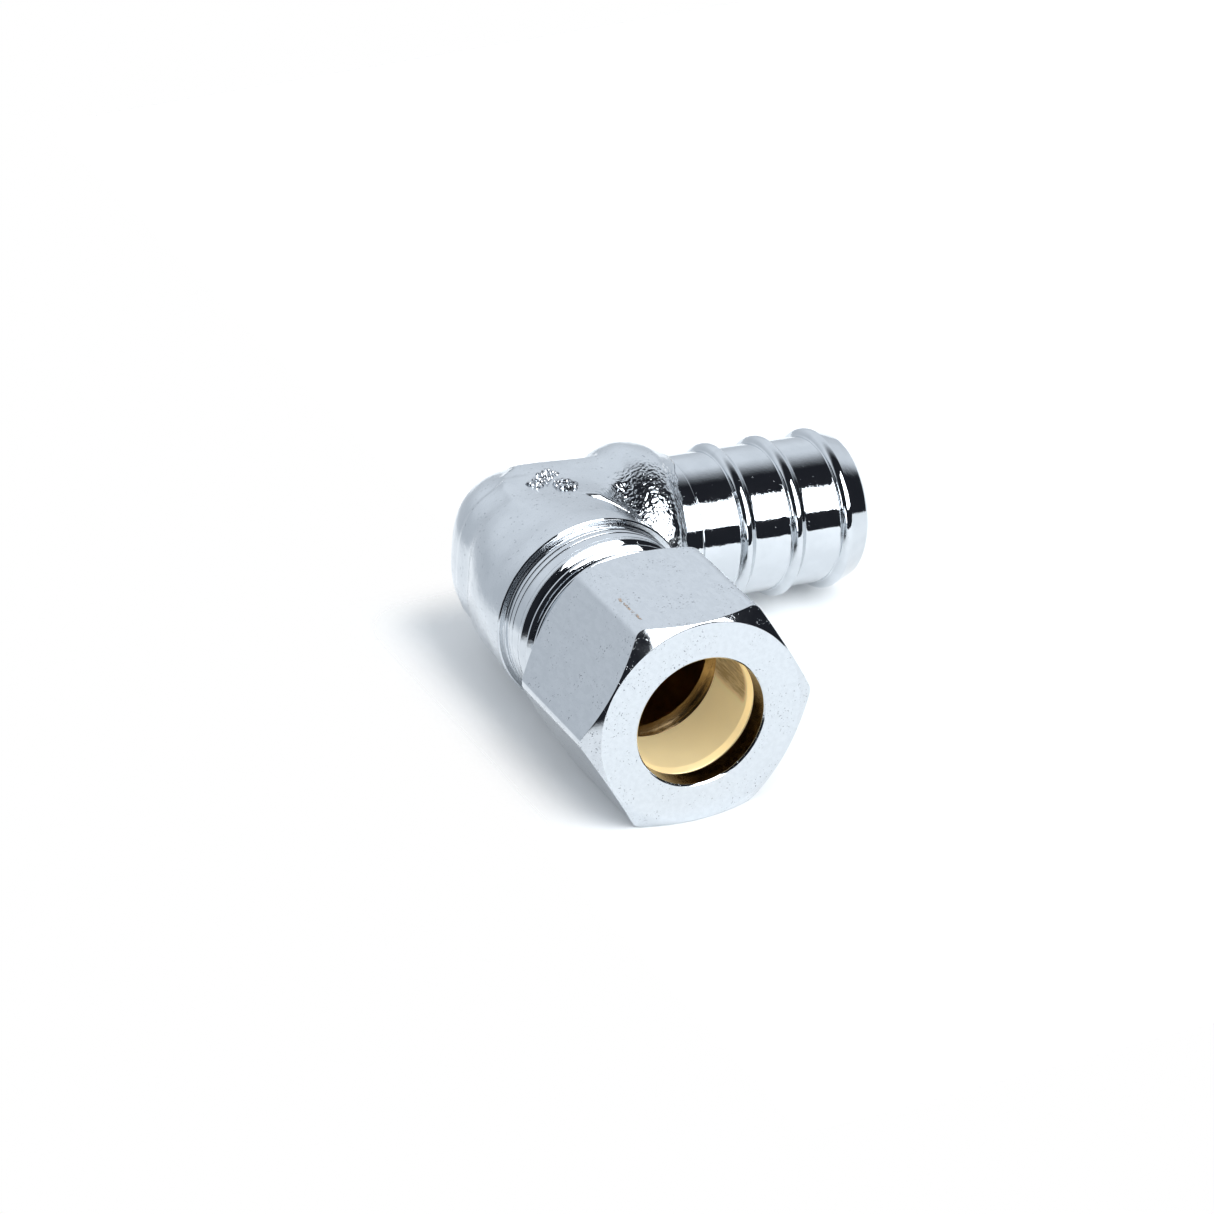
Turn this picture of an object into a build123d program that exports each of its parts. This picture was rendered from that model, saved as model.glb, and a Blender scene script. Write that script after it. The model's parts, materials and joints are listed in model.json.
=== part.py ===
from build123d import *
import os
from math import radians, sqrt, tan

# 90 degree elbow, 3/8 in OD compression by 1/2 in barb, chrome-plated brass.
# The tube enters along +Y through the nut, the barb leaves along +X, Z is up.
# The origin is on the tube axis at the tube stop, where an inserted tube ends.

# ---- centre lines ----------------------------------------------------------
FACE_TO_CENTRE = 19.8        # compression end face to the barb's centre line
BARB_TIP_X = 25.5            # tube axis to the barb's free end

# ---- thread, 9/16-24 -------------------------------------------------------
THREAD_PITCH = 25.4 / 24
THREAD_MAJOR_R = 7.14
THREAD_ROOT_R = 6.56
THREAD_CREST_W = 0.16        # flat on the male crest
THREAD_ROOT_W = 0.22         # flat left in the male root
THREAD_CLEAR = 0.07          # gap between male and female thread, on every face
THREAD_SINK = 0.05           # thread shapes reach this far past the wall they leave
THREAD_START = 0.55          # lead-in bevel at the end face
THREAD_LEAD_TURNS = 8        # both helices start this many turns before the end face
THREAD_PHASE = -0.42         # and this far along from there, so the crests fall right
MALE_TURNS = 20
FEMALE_TURNS = 13
THREAD_FROM_FACE = 7.0       # where the full thread ends
RUN_OUT_R = 7.08             # turned band between the thread and the shoulder
RUN_OUT_LINES = 4            # shallow lines cut round the band by the die
RUN_OUT_LINE_W = 0.14
RUN_OUT_LINE_DEPTH = 0.06
SHOULDER_FROM_FACE = 9.5     # where the turned end meets the forged collar

# ---- compression end of the elbow ------------------------------------------
SOCKET_R = 4.85              # tube socket, clearance on a 9.525 mm tube
SOCKET_DEPTH = 6.5           # end face to the tube stop
SEAT_R = 5.80                # mouth of the sleeve's conical seat
SEAT_ANGLE = 45.0
COLLAR_R = 7.57              # turned shoulder face
COLLAR_BEVEL = 0.15
HUB_R = 5.80                 # forged hub round the tube axis
CORNER_R = 5.92              # rounded outer corner
COLLAR_FLARE = (             # distance from the barb's centre line, radius
    (1.6, 5.95),
    (3.0, 6.55),
    (4.7, 7.10),
    (6.8, 7.46),
    (8.7, 7.57),
)
BORE_R = 3.90                # water way behind the tube stop

# ---- forged boss and barb --------------------------------------------------
BOSS_CURVE = (               # distance from the tube axis, radius
    (5.50, 5.95),
    (6.70, 6.90),
    (7.90, 7.20),
    (9.20, 6.95),
    (10.10, 6.30),
)
BOSS_START_X = 4.6
BARB_HUB_R = 5.88            # forged hub round the barb's centre line
TURNED_X = 10.9              # forging ends, turned tube begins
FORGED_END_R = 5.80
BARB_R = 5.60
RIB_R = 6.12
RIB_STARTS = (14.65, 18.85, 23.05)
RIB_RISE = 0.55              # steep side, faces the elbow
RIB_LAND = 0.15              # flat on each rib's crest
RIB_LENGTH = 1.25
RIB_CROWN_ALONG = 0.30       # the steep side's round: share of its length
RIB_CROWN_UP = 0.75          # and share of its height
TIP_R = 5.45
TIP_BEVEL = 0.20
BARB_BORE_R = 4.35
BARB_BORE_BEVEL = 0.25
SCRIBE_X = 11.45             # line scribed round the tube
SCRIBE_W = 0.12
SCRIBE_DEPTH = 0.06

# ---- forging land on the elbow's two die faces -----------------------------
LAND_Z = 5.98
LAND_DEPTH = 0.9
LAND_DRAFT = 20.0
LAND_TOE_X = -1.9            # where its curved side starts, next to the collar
LAND_LEFT_X = -3.1           # furthest point of the curved side
LAND_LEFT_D = 3.0            # and that point's distance from the barb's centre line
LAND_HEEL_X = -0.6           # where the curved side ends, at the back
LAND_BACK = 2.1              # half width along the barb leg
LAND_REACH = 7.6             # length along the tube leg
LAND_RIGHT_X = 5.6
LAND_NECK_X = 2.8            # inner corner between the two legs
LAND_NECK_D = 3.7
LAND_HALF_W = 2.4            # half width at the collar

# ---- generic raised marks on the upper land --------------------------------
MARK_H = 0.14
MARK_RING_X = 1.3
MARK_RING_D = 2.2            # distance from the barb's centre line
MARK_RING_R = 0.95
MARK_RING_W = 0.32
MARK_BARS_X = 0.2            # middle of a slanting row of bars
MARK_BARS_D = 0.6
MARK_BARS_ANGLE = 40.0
MARK_BARS = 4
MARK_BAR_L = 1.4
MARK_BAR_W = 0.36
MARK_BAR_PITCH = 0.9

# ---- compression nut -------------------------------------------------------
NUT_FLATS = 15.875           # 5/8 in across flats
NUT_LENGTH = 11.3
NUT_OVERLAP = 3.3            # how far it is screwed over the elbow's end
NUT_CLOCK = 3.5              # degrees the hexagon is turned from the barb
NUT_FACE_R = 7.82            # flat ring left by the front bevel
NUT_FRONT_BEVEL = 1.0        # depth of the front bevel at a corner
NUT_BACK_R = 7.82
NUT_REAR_BEVEL = 1.1
NUT_BEVEL_CROWN = 0.03       # both bevels are slightly rounded
NUT_EDGE_R = 0.25            # soft longitudinal edges
NUT_HOLE_R = 4.93            # clearance hole for the tube
NUT_LIP_L = 1.70             # length of the tube hole
NUT_LIP_BEVEL = 0.15
NUT_BEVEL_R = 7.35           # lead-in at the rear

# ---- compression sleeve ----------------------------------------------------
SLEEVE_NOSE_GAP = 0.25       # from the nut's tube hole back to the sleeve
SLEEVE_LENGTH = 5.5
SLEEVE_ID_R = 4.85
SLEEVE_OD_R = 5.70
SLEEVE_NOSE_R = 5.12
SLEEVE_NOSE_L = 1.0
SLEEVE_MOUTH = 0.18          # inner bevel, radial
SLEEVE_MOUTH_L = 0.55
SLEEVE_HEEL = 0.10

# ---- derived ---------------------------------------------------------------
NUT_CORNER_R = NUT_FLATS / sqrt(3)
NUT_MINOR_R = THREAD_ROOT_R + THREAD_CLEAR
NUT_MAJOR_R = THREAD_MAJOR_R + THREAD_CLEAR
FACE_Y = -SOCKET_DEPTH
CENTRE_Y = FACE_Y + FACE_TO_CENTRE
THREAD_END_Y = FACE_Y + THREAD_FROM_FACE
SHOULDER_Y = FACE_Y + SHOULDER_FROM_FACE
RUN_OUT_PITCH = (SHOULDER_Y - THREAD_END_Y) / (RUN_OUT_LINES + 0.5)
NUT_REAR_Y = FACE_Y + NUT_OVERLAP
NUT_FRONT_Y = NUT_REAR_Y - NUT_LENGTH
NUT_CONE_Y = NUT_FRONT_Y + NUT_LIP_L
NUT_BORE_Y = NUT_CONE_Y + (NUT_MINOR_R - NUT_HOLE_R)
SEAT_Y = FACE_Y + (SEAT_R - SOCKET_R) / tan(radians(SEAT_ANGLE))
SLEEVE_FRONT_Y = NUT_CONE_Y + SLEEVE_NOSE_GAP
SLEEVE_REAR_Y = SLEEVE_FRONT_Y + SLEEVE_LENGTH
FLANK = (THREAD_PITCH - THREAD_CREST_W - THREAD_ROOT_W) / 2
FLANK_SLOPE = FLANK / (THREAD_MAJOR_R - THREAD_ROOT_R)
FLANK_GAP = THREAD_CLEAR * sqrt(1 + FLANK_SLOPE ** 2)
TUBE_AXIS = Axis((0, 0, 0), (0, 1, 0))
BARB_AXIS = Axis((0, CENTRE_Y, 0), (1, 0, 0))
CORNER_PLANE = Plane(origin=(0, CENTRE_Y, 0))    # its origin is where the two axes meet
BEYOND = 1.0                 # overrun of cutting shapes

os.makedirs("parts", exist_ok=True)

# Both threads ride on one right-hand helix, so they stay in step as the nut turns.
HELIX_Y = FACE_Y - THREAD_LEAD_TURNS * THREAD_PITCH + THREAD_PHASE


def thread_plane(start):
    """Plane through the tube axis at a helix start, local x pointing outwards."""
    outward = Vector(start.X, 0, start.Z).normalized()
    return Plane(origin=(0, start.Y, 0), x_dir=outward, z_dir=outward.cross(Vector(0, 1, 0)))


with BuildLine() as male_helix:
    Helix(THREAD_PITCH, MALE_TURNS * THREAD_PITCH, THREAD_ROOT_R,
          center=(0, HELIX_Y, 0), direction=(0, 1, 0))

with BuildLine() as female_helix:
    Helix(THREAD_PITCH, FEMALE_TURNS * THREAD_PITCH, THREAD_ROOT_R,
          center=(0, HELIX_Y, 0), direction=(0, 1, 0))

# =============================== elbow body =================================
with BuildPart() as elbow_body:
    # external thread: one ridge, trimmed to its lead-in bevel and its full length
    sink_half = THREAD_CREST_W / 2 + FLANK + THREAD_SINK * FLANK_SLOPE
    with BuildSketch(thread_plane(male_helix.line @ 0)):
        with BuildLine():
            Polyline(
                (THREAD_ROOT_R - THREAD_SINK, -sink_half),
                (THREAD_MAJOR_R, -THREAD_CREST_W / 2),
                (THREAD_MAJOR_R, THREAD_CREST_W / 2),
                (THREAD_ROOT_R - THREAD_SINK, sink_half),
                close=True,
            )
        make_face()
    sweep(path=male_helix.line, is_frenet=True)
    with BuildSketch(Plane.XY):
        with BuildLine():
            Polyline(
                (0, FACE_Y),
                (THREAD_ROOT_R, FACE_Y),
                (THREAD_ROOT_R + THREAD_START, FACE_Y + THREAD_START),
                (THREAD_MAJOR_R + BEYOND, FACE_Y + THREAD_START + BEYOND),
                (THREAD_MAJOR_R + BEYOND, THREAD_END_Y),
                (0, THREAD_END_Y),
                close=True,
            )
        make_face()
    revolve(axis=TUBE_AXIS, mode=Mode.INTERSECT)
    with BuildSketch(Plane.XZ.offset(-THREAD_END_Y)):
        Circle(THREAD_ROOT_R)
    extrude(amount=THREAD_END_Y - FACE_Y)

    # run-out band, turned shoulder and forged flare
    flare = [(radius, -distance) for distance, radius in reversed(COLLAR_FLARE)]
    with BuildSketch(CORNER_PLANE):
        with BuildLine():
            Polyline(
                (0, 0),
                (0, THREAD_END_Y - CENTRE_Y),
                (RUN_OUT_R, THREAD_END_Y - CENTRE_Y),
                (RUN_OUT_R, SHOULDER_Y - CENTRE_Y),
                (COLLAR_R - COLLAR_BEVEL, SHOULDER_Y - CENTRE_Y),
                (COLLAR_R, SHOULDER_Y - CENTRE_Y + COLLAR_BEVEL),
                flare[0],
            )
            Spline(flare + [(HUB_R, 0)], tangents=((0, 1), (0, 1)))
            Line((HUB_R, 0), (0, 0))
        make_face()
    revolve(axis=TUBE_AXIS)

    # rounded outer corner
    with Locations((0, CENTRE_Y, 0)):
        Sphere(CORNER_R)

    # barb leg: hub, forged boss, turned tube with three ribs
    with BuildSketch(CORNER_PLANE):
        with BuildLine():
            Line((0, 0), (0, BARB_HUB_R))
            Line((0, BARB_HUB_R), (BOSS_START_X, BARB_HUB_R))
            Spline(
                [(BOSS_START_X, BARB_HUB_R), *BOSS_CURVE, (TURNED_X, FORGED_END_R)],
                tangents=((1, 0), (2, -1)),
            )
            Polyline(
                (TURNED_X, FORGED_END_R),
                (TURNED_X, BARB_R),
                (RIB_STARTS[0], BARB_R),
            )
            for rib_x in RIB_STARTS:
                ThreePointArc(
                    (rib_x, BARB_R),
                    (rib_x + RIB_CROWN_ALONG * RIB_RISE, BARB_R + RIB_CROWN_UP * (RIB_R - BARB_R)),
                    (rib_x + RIB_RISE, RIB_R),
                )
            for rib_x, next_x in zip(RIB_STARTS[:-1], RIB_STARTS[1:]):
                Polyline(
                    (rib_x + RIB_RISE, RIB_R),
                    (rib_x + RIB_RISE + RIB_LAND, RIB_R),
                    (rib_x + RIB_LENGTH, BARB_R),
                    (next_x, BARB_R),
                )
            Polyline(
                (RIB_STARTS[-1] + RIB_RISE, RIB_R),
                (RIB_STARTS[-1] + RIB_RISE + RIB_LAND, RIB_R),
                (BARB_TIP_X - TIP_BEVEL, TIP_R),
                (BARB_TIP_X, TIP_R - TIP_BEVEL),
                (BARB_TIP_X, 0),
                (0, 0),
            )
        make_face()
    revolve(axis=BARB_AXIS)

    # forging land on the top and bottom die faces
    for side in (1, -1):
        with BuildSketch(CORNER_PLANE.offset(side * LAND_Z)):
            with BuildLine():
                ThreePointArc(
                    (LAND_TOE_X, -LAND_REACH),
                    (LAND_LEFT_X, -LAND_LEFT_D),
                    (LAND_HEEL_X, LAND_BACK),
                )
                Polyline(
                    (LAND_HEEL_X, LAND_BACK),
                    (LAND_RIGHT_X, LAND_BACK),
                    (LAND_RIGHT_X, -LAND_BACK),
                    (LAND_NECK_X, -LAND_NECK_D),
                    (LAND_HALF_W, -LAND_REACH),
                    (LAND_TOE_X, -LAND_REACH),
                )
            make_face()
        extrude(amount=-side * LAND_DEPTH, taper=-LAND_DRAFT)

    # generic raised marks: a ring and a slanting row of bars
    with BuildSketch(CORNER_PLANE.offset(LAND_Z)):
        with Locations((MARK_RING_X, -MARK_RING_D)):
            Circle(MARK_RING_R)
            Circle(MARK_RING_R - MARK_RING_W, mode=Mode.SUBTRACT)
        with Locations(Location((MARK_BARS_X, -MARK_BARS_D), MARK_BARS_ANGLE)):
            with GridLocations(MARK_BAR_PITCH, 0, MARK_BARS, 1):
                Rectangle(MARK_BAR_W, MARK_BAR_L)
    extrude(amount=MARK_H)

    # lines round the run-out band, and the one scribed round the tube
    with BuildSketch(Plane.XY):
        for line in range(1, RUN_OUT_LINES + 1):
            with Locations((RUN_OUT_R, THREAD_END_Y + line * RUN_OUT_PITCH)):
                Rectangle(2 * RUN_OUT_LINE_DEPTH, RUN_OUT_LINE_W)
    revolve(axis=TUBE_AXIS, mode=Mode.SUBTRACT)
    with BuildSketch(CORNER_PLANE):
        with Locations((SCRIBE_X, BARB_R)):
            Rectangle(SCRIBE_W, 2 * SCRIBE_DEPTH)
    revolve(axis=BARB_AXIS, mode=Mode.SUBTRACT)

    # conical seat, tube socket and the water way down the tube leg
    with BuildSketch(Plane.XY):
        with BuildLine():
            Polyline(
                (0, FACE_Y - BEYOND),
                (SEAT_R, FACE_Y - BEYOND),
                (SEAT_R, FACE_Y),
                (SOCKET_R, SEAT_Y),
                (SOCKET_R, 0),
                (BORE_R, 0),
                (BORE_R, CENTRE_Y),
                (0, CENTRE_Y),
                close=True,
            )
        make_face()
    revolve(axis=TUBE_AXIS, mode=Mode.SUBTRACT)
    with Locations((0, CENTRE_Y, 0)):
        Sphere(BORE_R, mode=Mode.SUBTRACT)

    # water way down the barb
    with BuildSketch(CORNER_PLANE):
        with BuildLine():
            Polyline(
                (0, 0),
                (0, BORE_R),
                (TURNED_X, BORE_R),
                (TURNED_X, BARB_BORE_R),
                (BARB_TIP_X - BARB_BORE_BEVEL, BARB_BORE_R),
                (BARB_TIP_X + BEYOND, BARB_BORE_R + BARB_BORE_BEVEL + BEYOND),
                (BARB_TIP_X + BEYOND, 0),
                close=True,
            )
        make_face()
    revolve(axis=BARB_AXIS, mode=Mode.SUBTRACT)

elbow_body.part.label = "elbow_body"
export_step(elbow_body.part, "parts/elbow_body.step")

# ============================== compression nut =============================
# the shape of the threaded bore: a groove on the helix, trimmed, plus its core
with BuildPart() as tap:
    groove_half = THREAD_CREST_W / 2 + FLANK_GAP
    inner_r = NUT_MINOR_R - THREAD_SINK
    inner_half = groove_half + (NUT_MAJOR_R - inner_r) * FLANK_SLOPE
    with BuildSketch(thread_plane(female_helix.line @ 0)):
        with BuildLine():
            Polyline(
                (inner_r, -inner_half),
                (NUT_MAJOR_R, -groove_half),
                (NUT_MAJOR_R, groove_half),
                (inner_r, inner_half),
                close=True,
            )
        make_face()
    sweep(path=female_helix.line, is_frenet=True)
    with BuildSketch(Plane.XZ.offset(-NUT_REAR_Y)):
        Circle(NUT_MAJOR_R + BEYOND)
    extrude(amount=NUT_REAR_Y - NUT_BORE_Y, mode=Mode.INTERSECT)
    with BuildSketch(Plane.XZ.offset(-NUT_REAR_Y)):
        Circle(NUT_MINOR_R)
    extrude(amount=NUT_REAR_Y - NUT_BORE_Y)

with BuildPart() as compression_nut:
    with BuildSketch(Plane.XZ.offset(-NUT_REAR_Y)):
        with Locations(Location((0, 0), NUT_CLOCK)):
            RegularPolygon(NUT_FLATS / 2, 6, major_radius=False)
        fillet(vertices(), NUT_EDGE_R)
    extrude(amount=NUT_LENGTH)

    # bevelled ends
    front_corner = (NUT_CORNER_R, NUT_FRONT_Y + NUT_FRONT_BEVEL)
    rear_corner = (NUT_CORNER_R, NUT_REAR_Y - NUT_REAR_BEVEL)
    with BuildSketch(Plane.XY):
        with BuildLine():
            Line((0, NUT_FRONT_Y), (NUT_FACE_R, NUT_FRONT_Y))
            SagittaArc((NUT_FACE_R, NUT_FRONT_Y), front_corner, -NUT_BEVEL_CROWN)
            Line(front_corner, rear_corner)
            SagittaArc(rear_corner, (NUT_BACK_R, NUT_REAR_Y), -NUT_BEVEL_CROWN)
            Polyline((NUT_BACK_R, NUT_REAR_Y), (0, NUT_REAR_Y), (0, NUT_FRONT_Y))
        make_face()
    revolve(axis=TUBE_AXIS, mode=Mode.INTERSECT)

    # tube hole and sleeve cone
    with BuildSketch(Plane.XY):
        with BuildLine():
            Polyline(
                (0, NUT_FRONT_Y - BEYOND),
                (NUT_HOLE_R + NUT_LIP_BEVEL + BEYOND, NUT_FRONT_Y - BEYOND),
                (NUT_HOLE_R, NUT_FRONT_Y + NUT_LIP_BEVEL),
                (NUT_HOLE_R, NUT_CONE_Y),
                (NUT_MINOR_R, NUT_BORE_Y),
                (0, NUT_BORE_Y),
                close=True,
            )
        make_face()
    revolve(axis=TUBE_AXIS, mode=Mode.SUBTRACT)

    # internal thread and its bore
    add(tap.part, mode=Mode.SUBTRACT)

    # lead-in at the rear
    with BuildSketch(Plane.XY):
        with BuildLine():
            Polyline(
                (0, NUT_REAR_Y + BEYOND),
                (NUT_BEVEL_R + BEYOND, NUT_REAR_Y + BEYOND),
                (NUT_MINOR_R, NUT_REAR_Y - (NUT_BEVEL_R - NUT_MINOR_R)),
                (0, NUT_REAR_Y - (NUT_BEVEL_R - NUT_MINOR_R)),
                close=True,
            )
        make_face()
    revolve(axis=TUBE_AXIS, mode=Mode.SUBTRACT)

compression_nut.part.label = "compression_nut"
export_step(compression_nut.part, "parts/compression_nut.step")

# ============================ compression sleeve ============================
with BuildPart() as compression_sleeve:
    with BuildSketch(Plane.XY):
        with BuildLine():
            Polyline(
                (SLEEVE_ID_R + SLEEVE_MOUTH, SLEEVE_FRONT_Y),
                (SLEEVE_NOSE_R, SLEEVE_FRONT_Y),
                (SLEEVE_OD_R, SLEEVE_FRONT_Y + SLEEVE_NOSE_L),
                (SLEEVE_OD_R, SLEEVE_REAR_Y - SLEEVE_NOSE_L),
                (SLEEVE_NOSE_R, SLEEVE_REAR_Y),
                (SLEEVE_ID_R + SLEEVE_HEEL, SLEEVE_REAR_Y),
                (SLEEVE_ID_R, SLEEVE_REAR_Y - SLEEVE_HEEL),
                (SLEEVE_ID_R, SLEEVE_FRONT_Y + SLEEVE_MOUTH_L),
                close=True,
            )
        make_face()
    revolve(axis=TUBE_AXIS)

compression_sleeve.part.label = "compression_sleeve"
export_step(compression_sleeve.part, "parts/compression_sleeve.step")
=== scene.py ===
import json

import bpy
import numpy as np
from mathutils import Matrix, Vector


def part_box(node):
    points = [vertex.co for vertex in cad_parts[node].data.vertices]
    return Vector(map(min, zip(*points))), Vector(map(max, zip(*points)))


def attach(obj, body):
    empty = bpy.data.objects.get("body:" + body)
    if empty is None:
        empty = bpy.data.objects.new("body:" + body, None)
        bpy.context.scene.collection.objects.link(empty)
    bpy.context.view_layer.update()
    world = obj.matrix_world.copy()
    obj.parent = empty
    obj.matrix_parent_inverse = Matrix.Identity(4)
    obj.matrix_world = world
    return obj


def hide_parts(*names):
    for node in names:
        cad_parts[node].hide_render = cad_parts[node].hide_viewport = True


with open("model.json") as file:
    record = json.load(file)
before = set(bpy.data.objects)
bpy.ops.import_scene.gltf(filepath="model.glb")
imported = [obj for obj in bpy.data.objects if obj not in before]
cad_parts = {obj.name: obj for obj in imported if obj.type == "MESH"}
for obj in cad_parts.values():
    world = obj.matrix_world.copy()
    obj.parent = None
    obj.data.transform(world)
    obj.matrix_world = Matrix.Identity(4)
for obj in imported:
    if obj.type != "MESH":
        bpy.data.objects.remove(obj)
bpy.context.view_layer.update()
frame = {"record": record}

record = frame["record"]
MM = 0.001


def mm_box(node):
    """Low and high corner of a node's box, in millimetres."""
    low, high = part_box(node)
    return np.array(low) / MM, np.array(high) / MM


def mount(name):
    return next(row for row in record["mounts"] if row["name"] == name)


elbow_low, elbow_high = mm_box("elbow_body")
nut_low, nut_high = mm_box("compression_nut")
sleeve_low, sleeve_high = mm_box("compression_sleeve")

# ---- main measures, mm ------------------------------------------------------
FACE_Y = elbow_low[1]                     # compression end face
TIP_X = elbow_high[0]                     # barb's free end
CENTRE_Y = mount("barb")["pos_m"][1] / MM  # barb's centre line
SOCKET_R = mount("tube_port")["dims"]["r_mm"]
RIB_R = mount("barb")["dims"]["r_mm"]
PITCH = 2 * np.pi * record["behaviour"]["couplings"][0]["ratio"] / MM
CLOCK = np.arctan2(-mount("spanner_flat_top")["axis"][0], mount("spanner_flat_top")["axis"][2])
FLAT_D = np.hypot(mount("spanner_flat_top")["pos_m"][0], mount("spanner_flat_top")["pos_m"][2]) / MM

COLLAR_R = 7.54
HUB_R = 5.80
BARB_HUB_R = 5.88
CORNER_R = 5.92
BORE_R = 3.90
BARB_R = 5.60
BARB_BORE_R = 4.35
SEAT_R = 5.80
ROOT_R = 6.56
BAND_R = 7.08
SHOULDER_Y = 3.0
CLEAR = 0.07                              # gap between male and female thread
THREAD_PHASE = -0.42                      # both helices start this far from a whole pitch
THREAD_TURNS = 6.4
BAND_START_Y = 1.50
RUN_OUT_LINES = ((1.63, 0.055), (2.17, 0.05), (2.72, 0.11))    # place and half width
SHOULDER_LINES_R = (7.17, 7.25, 7.33)
TURNED_X = 10.9                           # forging ends, turned tube begins
SCRIBE_X = 11.50
RIB_FEET = (14.58, 18.80, 23.00)
TOOL_LINES_Y = (-1.2, -2.4, -3.4, -4.2)   # faint lines cut in the tube socket

MARK_BARS_AT = (0.2, 12.7)                # raised marks, on the upper die face
MARK_BARS_ANGLE = np.radians(40.0)
MARK_BAR_PITCH = 0.9
MARK_BAR_HALF_W = 0.21
MARK_BAR_HALF_L = 0.70
MARK_RING_AT = (1.3, 11.1)
MARK_RING_R = 0.79
MARK_RING_HALF_W = 0.19
MARK_RISE = 0.24
MARK_ROUGH = 0.10
MARK_SINK = 0.03                          # their foot starts this far under the forging
MARK_ROOT = 0.35                          # and their closed underside this far

# Columns round the section, angle from +Z towards the inside of the bend; closer on the front.
DENSE = np.radians(1.3)
COARSE = np.radians(2.8)
FRONT_SPAN = np.radians(110.0)


def column_angles():
    front = np.arange(0, FRONT_SPAN, DENSE)
    back = np.arange(front[-1] + DENSE, 2 * np.pi - FRONT_SPAN, COARSE)
    left = np.linspace(back[-1] + COARSE, 2 * np.pi, len(front) + 1)[:-1]
    return np.concatenate([front, back, left])


THETA = column_angles()
N = len(THETA)

TABLE = np.random.default_rng(7).uniform(-1, 1, 4096)


def noise(points, size, seed=0):
    """Smooth value noise in -1..1 at points (..., 3), with features of the given size."""
    q = points / size + 57.0 + 13.7 * seed
    cell = np.floor(q).astype(np.int64)
    f = q - cell
    f = f * f * (3 - 2 * f)
    total = 0.0
    for i in (0, 1):
        for j in (0, 1):
            for k in (0, 1):
                key = ((cell[..., 0] + i) * 73856093 ^ (cell[..., 1] + j) * 19349663
                       ^ (cell[..., 2] + k) * 83492791)
                weight = (np.where(i, f[..., 0], 1 - f[..., 0])
                          * np.where(j, f[..., 1], 1 - f[..., 1])
                          * np.where(k, f[..., 2], 1 - f[..., 2]))
                total = total + TABLE[key % 4096] * weight
    return total


def ramp(value, low, high):
    t = np.clip((value - low) / (high - low), 0, 1)
    return t * t * (3 - 2 * t)


def smooth_min(a, b, k):
    h = np.maximum(k - np.abs(a - b), 0) / k
    return np.minimum(a, b) - h * h * k / 4


def smooth_max(a, b, k):
    return -smooth_min(-a, -b, k)


def curve(points, slopes=None):
    """Smooth curve through (position, value) points, as a function."""
    xs, ys = np.array(points, float).T
    step = np.diff(ys) / np.diff(xs)
    inner = np.where(step[1:] * step[:-1] > 0, 2 * step[1:] * step[:-1] / (step[1:] + step[:-1] + 1e-12), 0)
    tangents = np.concatenate([[step[0]], inner, [step[-1]]])
    if slopes:
        tangents[0], tangents[-1] = slopes

    def value(x):
        x = np.clip(x, xs[0], xs[-1])
        i = np.clip(np.searchsorted(xs, x) - 1, 0, len(xs) - 2)
        h = xs[i + 1] - xs[i]
        t = (x - xs[i]) / h
        return (ys[i] * (1 + 2 * t) * (1 - t) ** 2 + ys[i + 1] * t * t * (3 - 2 * t)
                + h * (tangents[i] * t * (1 - t) ** 2 - tangents[i + 1] * t * t * (1 - t)))
    return value


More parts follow.
